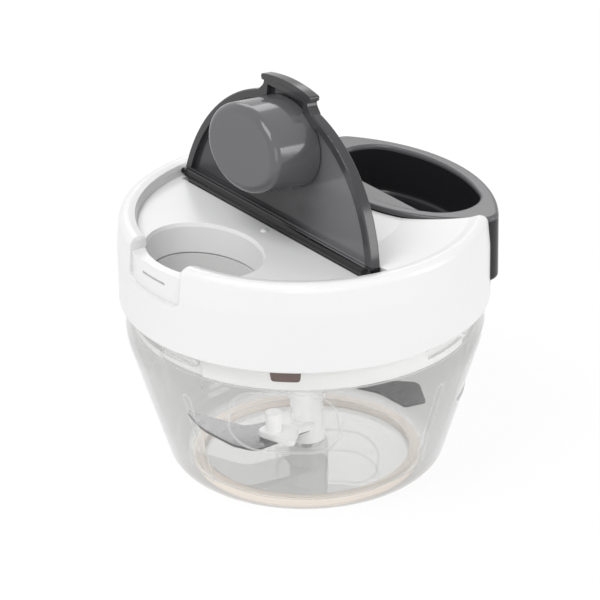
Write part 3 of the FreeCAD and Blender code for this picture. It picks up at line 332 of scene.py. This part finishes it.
# colours are linear, roughness 0 to 1, and edge, wave, line width, strand length, places and heights in mm
looks = {
    "clear": {"tint": (0.985, 0.985, 0.982, 1), "roughness": 0.03, "wave": 0.05, "edgePower": 6.0,
              "edgeStrength": 0.5, "edgeColour": grey(0.6), "hazeRoughness": 0.3, "sheen": 0.02,
              "sheenEdge": 0.9, "sheenPower": 5, "lineWidth": 1.0, "lineGain": 22.0, "lineStrength": 0.7},
    "white": {"colour": grey(0.73), "roughness": 0.3, "edge": 0.3},
    # painted light: the inner white and the hub white are lighter copies of the lid's white plastic, for the
    # light inside the bowl
    "innerWhite": {"colour": grey(0.84), "roughness": 0.42, "edge": 0.3},
    # painted shade: the chute's white is a darker copy of the lid's white, for the shade down the feed chute
    "chute": {"colour": grey(0.62), "roughness": 0.35, "edge": 0.3},
    "hub": {"colour": grey(0.94), "roughness": 0.28, "edge": 0.25},
    # painted light and shade: the flap's face is painted paler towards one side for the light falling on it,
    # and the hinge bar below 96 mm is painted near black as shade
    "flapGrey": {"colour": (0.04, 0.04, 0.043, 1), "roughness": 0.15, "drift": 0.08, "ior": 1.44, "edge": 0.3,
                 "wave": 0.02, "paintedLightColour": (0.14, 0.14, 0.147, 1), "paintedLightFrom": (10, -50), "face": (52.2, 85.1),
                 "below": grey(0.004), "belowHeight": 96},
    # painted light and shade: the handle is painted paler above 93.7 mm, where its top catches the light, and
    # painted shade below it
    "handleGrey": {"colour": (0.1, 0.1, 0.105, 1), "roughness": 0.2, "drift": 0.08, "edge": 0.4, "wave": 0.02,
                   "ior": 1.38, "below": (0.018, 0.018, 0.02, 1), "belowHeight": 93.7},
    "plugGrey": {"colour": (0.1, 0.1, 0.107, 1), "roughness": 0.12, "drift": 0.06, "wave": 0.03},
    "brown": {"colour": (0.15, 0.10, 0.09, 1), "roughness": 0.35},
    "acetal": {"colour": (0.72, 0.71, 0.66, 1), "roughness": 0.3},
    "gasket": {"colour": (0.62, 0.63, 0.63, 1), "roughness": 0.55},
    "peach": {"colour": (0.82, 0.75, 0.68, 1), "roughness": 0.6},
    "cord": {"colour": grey(0.62), "roughness": 0.75, "strandLength": 1.5, "strands": 4},
    "blade": {"colour": (0.26, 0.26, 0.265, 1), "roughness": 0.26, "stretch": (1, 1, 12)},
    "pin": {"colour": (0.5, 0.5, 0.51, 1), "roughness": 0.25, "stretch": (1, 1, 6)},
    "darkPin": {"colour": (0.03, 0.03, 0.03, 1), "roughness": 0.3, "stretch": (1, 1, 6)},
    "spring": {"colour": (0.42, 0.43, 0.46, 1), "roughness": 0.3, "stretch": (1, 1, 8)},
    "brass": {"colour": (0.72, 0.52, 0.24, 1), "roughness": 0.28, "stretch": (1, 1, 6)},
}

materials = {
    "clear_plastic": clearPlastic("clearPlastic", looks["clear"]),
    "white_plastic": mouldedPlastic("whitePlastic", looks["white"]),
    "inner_white_plastic": mouldedPlastic("innerWhitePlastic", looks["innerWhite"]),
    "hub_plastic": mouldedPlastic("hubPlastic", looks["hub"]),
    "dark_grey_plastic": mouldedPlastic("handleGreyPlastic", looks["handleGrey"]),
    "plug_grey_plastic": mouldedPlastic("plugGreyPlastic", looks["plugGrey"]),
    "brown_plastic": mouldedPlastic("brownPlastic", looks["brown"]),
    "acetal_plastic": mouldedPlastic("acetalPlastic", looks["acetal"]),
    "gasket_silicone": mouldedPlastic("gasketSilicone", looks["gasket"]),
    "peach_silicone": mouldedPlastic("peachSilicone", looks["peach"]),
    "blade_steel": steel("bladeSteel", looks["blade"]),
    "pin_steel": steel("pinSteel", looks["pin"]),
    "spring_steel": steel("springSteel", looks["spring"]),
    "bush_brass": steel("bushBrass", looks["brass"]),
    "cord_fibre": braidedFibre("braidedFibre", looks["cord"]),
}
finishOfNode = {
    "flap": mouldedPlastic("flapGreyPlastic", looks["flapGrey"]),
    "feed_chute_lower": mouldedPlastic("chutePlastic", looks["chute"]),
    "flap_hinge_pins": steel("darkPinSteel", looks["darkPin"]),
}

slotOf = {part["node"]: part["material_slot"] for part in frame["record"]["subparts"]}
for name, piece in nodes.items():
    piece.data.materials.clear()
    piece.data.materials.append(finishOfNode.get(name) or materials[slotOf[name]])
print("finishes made:", len(materials))


# A shape's tree: its sizes are named inputs, and it ends in plain mesh with its finish on
class Shape(Tree):
    def __init__(self, name, inputs):
        super().__init__(bpy.data.node_groups.new(name, "GeometryNodeTree"))
        self.names = {}
        for label, kind in inputs.items():
            socket = self.tree.interface.new_socket(name=label, in_out="INPUT",
                                                    socket_type="NodeSocket" + kind)
            self.names[label] = socket.identifier
        self.tree.interface.new_socket(name="Mesh", in_out="OUTPUT", socket_type="NodeSocketGeometry")
        self.given = self.tree.nodes.new("NodeGroupInput")

    def take(self, label):
        return Wire(self, self.given.outputs[label])

    def swept(self, path, profile):
        return self.node("GeometryNodeCurveToMesh", None,
                         {"Curve": path, "Profile Curve": profile, "Fill Caps": True})

    def circle(self, radius, sides):
        return self.node("GeometryNodeCurvePrimitiveCircle", None, {"Radius": radius, "Resolution": sides})

    def joined(self, *parts):
        made = self.tree.nodes.new("GeometryNodeJoinGeometry")
        for part in parts:
            self.tree.links.new(part.socket, made.inputs[0])
        return Wire(self, made.outputs[0])

    def give(self, geometry):
        smooth = self.node("GeometryNodeSetShadeSmooth", None, {"Geometry": geometry})
        plain = self.node("GeometryNodeRealizeInstances", None, {"Geometry": smooth})
        painted = self.node("GeometryNodeSetMaterial", None,
                            {"Geometry": plain, "Material": self.take("Finish")})
        self.node("NodeGroupOutput", None, {"Mesh": painted})


# Strands of a braid laid both ways round a path, over and under each other, on a core
def braidShape():
    shape = Shape("braid", {"Path": "Geometry", "Pairs": "Int", "Strand radius": "Float",
                            "Lay radius": "Float", "Lay length": "Float", "Weave": "Float",
                            "Spacing": "Float", "Finish": "Material"})
    line = shape.node("GeometryNodeMeshToCurve", None, {0: shape.take("Path")})
    fine = shape.node("GeometryNodeResampleCurve", {"mode": "LENGTH"},
                      {"Curve": line, "Length": shape.take("Spacing")})
    pairs = shape.take("Pairs")
    copies = shape.node("GeometryNodeDuplicateElements", {"domain": "SPLINE"},
                        {"Geometry": fine, "Amount": pairs * 2})
    index = copies.other("Duplicate Index")
    step = shape.node("ShaderNodeMath", {"operation": "FLOOR"}, {0: index * 0.5})
    way = (index - step * 2) * -2 + 1
    length = shape.node("GeometryNodeSplineParameter", output="Length")
    lay = length * (2 * math.pi) * (shape.take("Lay length") ** -1)
    angle = way * lay + step * (2 * math.pi) * (pairs ** -1)
    wave = shape.node("ShaderNodeMath", {"operation": "COSINE"}, {0: angle * pairs})
    radius = shape.take("Lay radius") + wave * way * shape.take("Weave")
    tangent = shape.node("GeometryNodeInputTangent")
    normal = shape.node("GeometryNodeInputNormal")
    side = shape.node("ShaderNodeVectorMath", {"operation": "CROSS_PRODUCT"}, {0: tangent, 1: normal})
    cosine = shape.node("ShaderNodeMath", {"operation": "COSINE"}, {0: angle})
    sine = shape.node("ShaderNodeMath", {"operation": "SINE"}, {0: angle})
    out = shape.node("ShaderNodeVectorMath", {"operation": "SCALE"}, {0: normal, "Scale": cosine * radius})
    across = shape.node("ShaderNodeVectorMath", {"operation": "SCALE"}, {0: side, "Scale": sine * radius})
    offset = shape.node("ShaderNodeVectorMath", {"operation": "ADD"}, {0: out, 1: across})
    laid = shape.node("GeometryNodeSetPosition", None, {"Geometry": copies, "Offset": offset})
    strands = shape.swept(laid, shape.circle(shape.take("Strand radius"), 5))
    core = shape.swept(fine, shape.circle(shape.take("Lay radius"), 8))
    shape.give(shape.joined(strands, core))
    return shape


# A plain round cord along a path
def tubeShape():
    shape = Shape("tube", {"Path": "Geometry", "Radius": "Float", "Spacing": "Float", "Finish": "Material"})
    line = shape.node("GeometryNodeMeshToCurve", None, {0: shape.take("Path")})
    fine = shape.node("GeometryNodeResampleCurve", {"mode": "LENGTH"},
                      {"Curve": line, "Length": shape.take("Spacing")})
    shape.give(shape.swept(fine, shape.circle(shape.take("Radius"), 16)))
    return shape


# Shares of a screw's own sizes, for its dome, its cross recess and its thread
screwShares = {"dome": 0.3, "recessReach": 1.2, "recessWidth": 0.26, "core": 0.86, "threadRadius": 0.88,
               "threadWire": 0.12, "threadLength": 0.94, "threadDrop": 0.98}


# Cross-recess screws at the path's points: a domed head, a shank and its thread
def screwShape():
    shape = Shape("screws", {"Places": "Geometry", "Head radius": "Float", "Head height": "Float",
                             "Shank radius": "Float", "Length": "Float", "Pitch": "Float", "Turn": "Vector",
                             "Finish": "Material"})
    headRadius, headHeight = shape.take("Head radius"), shape.take("Head height")
    up = shape.node("ShaderNodeCombineXYZ", None, {"Z": headHeight})
    stem = shape.node("GeometryNodeCurvePrimitiveLine", None, {"End": up})
    stem = shape.node("GeometryNodeResampleCurve", {"mode": "COUNT"}, {"Curve": stem, "Count": 9})
    height = shape.node("GeometryNodeSplineParameter", output="Factor")
    swell = headRadius * (1 - height ** 4 * screwShares["dome"])
    profile = shape.circle(1.0, 32)
    head = shape.node("GeometryNodeCurveToMesh", None,
                      {"Curve": stem, "Profile Curve": profile, "Scale": swell, "Fill Caps": True})
    reach, width = screwShares["recessReach"], screwShares["recessWidth"]
    arm = shape.node("ShaderNodeCombineXYZ", None,
                     {"X": headRadius * reach, "Y": headRadius * width, "Z": headHeight * reach})
    otherArm = shape.node("ShaderNodeCombineXYZ", None,
                          {"X": headRadius * width, "Y": headRadius * reach, "Z": headHeight * reach})
    cuts = []
    for size in (arm, otherArm):
        block = shape.node("GeometryNodeMeshCube", None, {"Size": size})
        lift = shape.node("ShaderNodeCombineXYZ", None, {"Z": headHeight})
        cuts.append(shape.node("GeometryNodeTransform", None, {"Geometry": block, "Translation": lift}))
    for cut in cuts:
        head = shape.node("GeometryNodeMeshBoolean", {"operation": "DIFFERENCE"},
                          {"Mesh 1": head, "Mesh 2": cut})
    length, shankRadius = shape.take("Length"), shape.take("Shank radius")
    shank = shape.node("GeometryNodeMeshCylinder", None,
                       {"Vertices": 20, "Radius": shankRadius * screwShares["core"], "Depth": length})
    drop = shape.node("ShaderNodeCombineXYZ", None, {"Z": length * -0.5})
    shank = shape.node("GeometryNodeTransform", None, {"Geometry": shank, "Translation": drop})
    threadLength = length * screwShares["threadLength"]
    threadRadius = shankRadius * screwShares["threadRadius"]
    coil = shape.node("GeometryNodeCurveSpiral", None,
                      {"Resolution": 16, "Rotations": threadLength * (shape.take("Pitch") ** -1),
                       "Start Radius": threadRadius, "End Radius": threadRadius, "Height": threadLength})
    thread = shape.swept(coil, shape.circle(shankRadius * screwShares["threadWire"], 4))
    sink = shape.node("ShaderNodeCombineXYZ", None, {"Z": length * -screwShares["threadDrop"]})
    thread = shape.node("GeometryNodeTransform", None, {"Geometry": thread, "Translation": sink})
    one = shape.joined(head, shank, thread)
    many = shape.node("GeometryNodeInstanceOnPoints", None,
                      {"Points": shape.take("Places"), "Instance": one, "Rotation": shape.take("Turn")})
    shape.give(many)
    return shape


# Runs a shape's tree on a base mesh and keeps what comes out as a plain mesh
def grown(name, base, shape, sizes):
    carrier = bpy.data.objects.new(name + "Base", base)
    bpy.context.scene.collection.objects.link(carrier)
    grower = carrier.modifiers.new("shape", "NODES")
    grower.node_group = shape.tree
    for label, value in sizes.items():
        grower[shape.names[label]] = value
    bpy.context.view_layer.update()
    mesh = bpy.data.meshes.new_from_object(carrier.evaluated_get(bpy.context.evaluated_depsgraph_get()))
    carrier.modifiers.clear()
    bpy.data.objects.remove(carrier)
    mesh.name = name
    return newPiece(name, mesh)


def newPiece(name, mesh):
    piece = bpy.data.objects.new(name, mesh)
    bpy.context.scene.collection.objects.link(piece)
    return piece


# A smooth route through its control points, as a line of points
def routeMesh(name, points):
    line = bpy.data.curves.new(name, "CURVE")
    line.dimensions = "3D"
    spline = line.splines.new("NURBS")
    spline.points.add(len(points) - 1)
    for point, place in zip(spline.points, points):
        point.co = (*place, 1)
    spline.order_u = 3
    spline.use_endpoint_u = True
    line.resolution_u = 8
    carrier = bpy.data.objects.new(name, line)
    bpy.context.scene.collection.objects.link(carrier)
    bpy.context.view_layer.update()
    mesh = bpy.data.meshes.new_from_object(carrier.evaluated_get(bpy.context.evaluated_depsgraph_get()))
    bpy.data.objects.remove(carrier)
    return mesh


def pointMesh(name, places):
    mesh = bpy.data.meshes.new(name)
    mesh.from_pydata(places, [], [])
    return mesh


def leaveAngle(line):
    return -math.acos(line["coilRadius"] / line["cornerX"])


def coilPoint(line, turn, radius):
    angle = leaveAngle(line) - 2 * math.pi * (line["turns"] - turn)
    height = line["coilBottom"] + turn * line["pitch"]
    return Vector((radius * math.cos(angle), radius * math.sin(angle), height))


def coilTangent(line, turn):
    angle = leaveAngle(line) - 2 * math.pi * (line["turns"] - turn)
    climb = line["pitch"] / (2 * math.pi * line["coilRadius"])
    return Vector((-math.sin(angle), math.cos(angle), climb)).normalized()


# The curve runs inside its control points, so they stand a little further out than the turns
def coilRoute(line):
    per = line["pointsPerTurn"]
    spread = line["coilRadius"] * 4 / (3 + math.cos(2 * math.pi / per))
    first = coilPoint(line, 0, line["coilRadius"])
    last = coilPoint(line, line["turns"], line["coilRadius"])
    reach = line["radius"] * 2
    route = [first - coilTangent(line, 0) * reach, first]
    route += [coilPoint(line, (step + 0.5) / per, spread) for step in range(line["turns"] * per)]
    return route + [last, last + coilTangent(line, line["turns"]) * reach]


def leadRoute(line):
    last = coilPoint(line, line["turns"], line["coilRadius"])
    last += coilTangent(line, line["turns"]) * line["radius"] * 2
    corner = Vector((line["cornerX"], 0, line["exitHeight"]))
    end = Vector((line["endX"], 0, line["exitHeight"]))
    route = [last.lerp(corner, share) for share in (0, 0.2, 0.4, 0.6, 0.85)]
    return route + [corner.lerp(end, share) for share in (0.15, 0.35, 0.55, 0.75, 0.9, 1)]


# A knot pulled tight behind the handle's wall, with its tail
def knotRoute(size):
    route = []
    reach = size["reach"]
    for step in range(size["points"]):
        turn = 2 * math.pi * step / size["points"]
        loop = Vector((reach * math.sin(3 * turn) * 0.5, reach * (math.sin(turn) + 2 * math.sin(2 * turn)) / 3,
                       reach * (math.cos(turn) - 2 * math.cos(2 * turn)) / 3))
        route.append(loop + Vector(size["centre"]))
    route.append(route[0] + Vector(size["leave"]))
    route.append(Vector(size["tail"]))
    return route


braid = {"Pairs": 4, "Strand radius": 0.25 * mm, "Lay radius": 0.42 * mm, "Lay length": 5.5 * mm,
         "Weave": 0.05 * mm, "Spacing": 0.4 * mm, "Finish": materials["cord_fibre"]}
winding = grown("cordWinding", routeMesh("windingRoute", coilRoute(cordLine)), braidShape(), braid)
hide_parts("pull_cord_winding")
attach(winding, "reel")

plainCord = tubeShape()
tube = {"Radius": cordLine["radius"], "Spacing": 0.25 * mm, "Finish": materials["cord_fibre"]}
lead = grown("cordLead", routeMesh("leadRoute", leadRoute(cordLine)), plainCord, tube)
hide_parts("pull_cord_lead")
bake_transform(lead)

knotSize = {"points": 36, "reach": 1.5 * mm, "radius": 0.62 * mm, "centre": (28.0 * mm, 0, 84.2 * mm),
            "leave": (0.2 * mm, -0.6 * mm, -0.8 * mm), "tail": (29.2 * mm, -1.6 * mm, 80.6 * mm)}
knot = grown("cordKnot", routeMesh("knotRoute", knotRoute(knotSize)), plainCord,
             tube | {"Radius": knotSize["radius"]})
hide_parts("cord_knot")
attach(knot, "handle")
print("cord made")

screws = {
    "plate": {"reach": 57.4, "angles": (62, 100, 140), "insets": (3.2, 4.4, 3.2), "height": 67.6,
              "sizes": {"Head radius": 2.5 * mm, "Head height": 1.5 * mm, "Shank radius": 1.1 * mm,
                        "Length": 8.0 * mm, "Pitch": 0.9 * mm, "Turn": (math.pi, 0, 0)}},
    "cover": {"reach": 19.2, "angles": (60, 120), "insets": (0, 0), "height": 89.5,
              "sizes": {"Head radius": 1.9 * mm, "Head height": 0.8 * mm, "Shank radius": 0.9 * mm,
                        "Length": 7.0 * mm, "Pitch": 0.8 * mm, "Turn": (0, 0, 0)}},
}


def screwPlaces(group):
    places = []
    for angle, inset in zip(group["angles"], group["insets"]):
        reach = (group["reach"] - inset) * mm
        for side in (1, -1):
            turn = math.radians(angle * side)
            places.append((reach * math.cos(turn), reach * math.sin(turn), group["height"] * mm))
    return places


screwTree = screwShape()
for node, name in (("base_plate_screws", "plate"), ("reel_cover_screws", "cover")):
    group = screws[name]
    piece = grown(name + "Screws", pointMesh(name + "Places", screwPlaces(group)), screwTree,
                  group["sizes"] | {"Finish": materials[slotOf[node]]})
    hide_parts(node)
    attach(piece, "lid")
print("screws made")


# A closed ring turned about the upright axis from its section
def turnedMesh(name, section, steps):
    vertices, faces = [], []
    count = len(section)
    for step in range(steps):
        turn = 2 * math.pi * step / steps
        across, along = math.cos(turn) * mm, math.sin(turn) * mm
        vertices += [(radius * across, radius * along, z * mm) for radius, z in section]
    for step in range(steps):
        here, there = step * count, (step + 1) % steps * count
        for i in range(count):
            after = (i + 1) % count
            faces.append((here + i, there + i, there + after, here + after))
    mesh = bpy.data.meshes.new(name)
    mesh.from_pydata(vertices, [], faces)
    solid = bmesh.new()
    solid.from_mesh(mesh)
    bmesh.ops.remove_doubles(solid, verts=solid.verts, dist=0.001 * mm)
    bmesh.ops.recalc_face_normals(solid, faces=solid.faces)
    solid.to_mesh(mesh)
    solid.free()
    for face in mesh.polygons:
        face.use_smooth = True
    return mesh


def roundedSection(inner, outer, bottom, top, radius, steps=4):
    section = []
    for x, z, start in ((outer - radius, top - radius, 0), (inner + radius, top - radius, 90),
                        (inner + radius, bottom + radius, 180), (outer - radius, bottom + radius, 270)):
        for step in range(steps + 1):
            turn = math.radians(start + 90 * step / steps)
            section.append((x + radius * math.cos(turn), z + radius * math.sin(turn)))
    return section


# in millimetres: the foot ring bites a hair into the clear plastic that holds it, as it is pressed in
ringSize = {"inner": 36.46, "outer": 40.54, "bottom": 0.0, "top": 3.24, "radius": 0.45}
footRing = newPiece("footRing", turnedMesh("footRing", roundedSection(**ringSize), 192))
footRing.data.materials.append(materials["peach_silicone"])
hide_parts("base_ring")
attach(footRing, "bowl")
print("ring made")

# floor and light: places in metres, powers in watts, and a painted shadow dims the floor seen through the bowl
studio = {
    "floorSize": 12.0,
    "floorColour": 0.95,
    "floorShare": 0.9,
    "paintedShadowInside": 0.48,
    "ambient": 0.68,
    "lamps": {
        "key": {"place": (-0.9, -1.35, 0.6), "aim": (0, 0, 0.06), "power": 5.0, "width": 1.0, "height": 1.0},
        "top": {"place": (-0.75, -0.05, 1.35), "aim": (0, 0, 0.08), "power": 10.5,
                "width": 0.8, "height": 0.8},
        "side": {"place": (0.85, -0.95, 0.38), "aim": (0, 0, 0.08), "power": 4.2,
                 "width": 0.45, "height": 0.6},
        "back": {"place": (0.6, 1.2, 1.0), "aim": (0, 0, 0.08), "power": 4.0, "width": 1.0, "height": 0.6},
    },
}


def seenDirectly(finish):
    camera = finish.node("ShaderNodeLightPath", output="Is Camera Ray")
    glossy = finish.node("ShaderNodeLightPath", output="Is Glossy Ray")
    through = finish.node("ShaderNodeLightPath", output="Is Transmission Ray")
    return finish.node("ShaderNodeMath", {"operation": "MAXIMUM"}, {0: camera, 1: glossy + through})


def makeFloor(size):
    floorMesh = bpy.data.meshes.new("floor")
    half = size / 2
    corners = [(-half, -half, 0), (half, -half, 0), (half, half, 0), (-half, half, 0)]
    floorMesh.from_pydata(corners, [], [(0, 1, 2, 3)])
    floor = bpy.data.objects.new("floor", floorMesh)
    bpy.context.scene.collection.objects.link(floor)
    material, finish = newFinish("paleFloor")
    matt = finish.node("ShaderNodeBsdfDiffuse", None, {"Color": grey(studio["floorColour"])})
    plain = finish.node("ShaderNodeEmission", None, {"Color": grey(1)})
    # painted shadow: the floor seen through the clear plastic is a grey emission
    inside = finish.node("ShaderNodeEmission", None, {"Color": grey(1 - studio["paintedShadowInside"])})
    walls = finish.node("ShaderNodeLightPath", output="Transparent Depth")
    white = finish.blended(finish.maths("MINIMUM", walls, 1.0), plain, inside)
    finish.output(finish.blended(seenDirectly(finish) * studio["floorShare"], matt, white))
    floorMesh.materials.append(material)


def makeWorld(ambient):
    world = bpy.data.worlds.new("studio")
    bpy.context.scene.world = world
    world.use_nodes = True
    finish = Finish(world.node_tree)
    strength = finish.node("ShaderNodeMath", {"operation": "MAXIMUM"}, {0: seenDirectly(finish), 1: ambient})
    light = finish.node("ShaderNodeBackground", None, {"Color": grey(1), "Strength": strength})
    finish.node("ShaderNodeOutputWorld", None, {"Surface": light})


def addSoftLight(name, look):
    lamp = bpy.data.lights.new(name, "AREA")
    lamp.shape = "RECTANGLE"
    lamp.energy = look["power"]
    lamp.size = look["width"]
    lamp.size_y = look["height"]
    light = bpy.data.objects.new(name, lamp)
    light.location = look["place"]
    aim = Vector(look["aim"]) - Vector(look["place"])
    light.rotation_euler = aim.to_track_quat("-Z", "Y").to_euler()
    bpy.context.scene.collection.objects.link(light)


makeFloor(studio["floorSize"])
makeWorld(studio["ambient"])
for name, look in studio["lamps"].items():
    addSoftLight(name + "Light", look)
bpy.context.scene.view_settings.view_transform = "Standard"
print("studio ready")
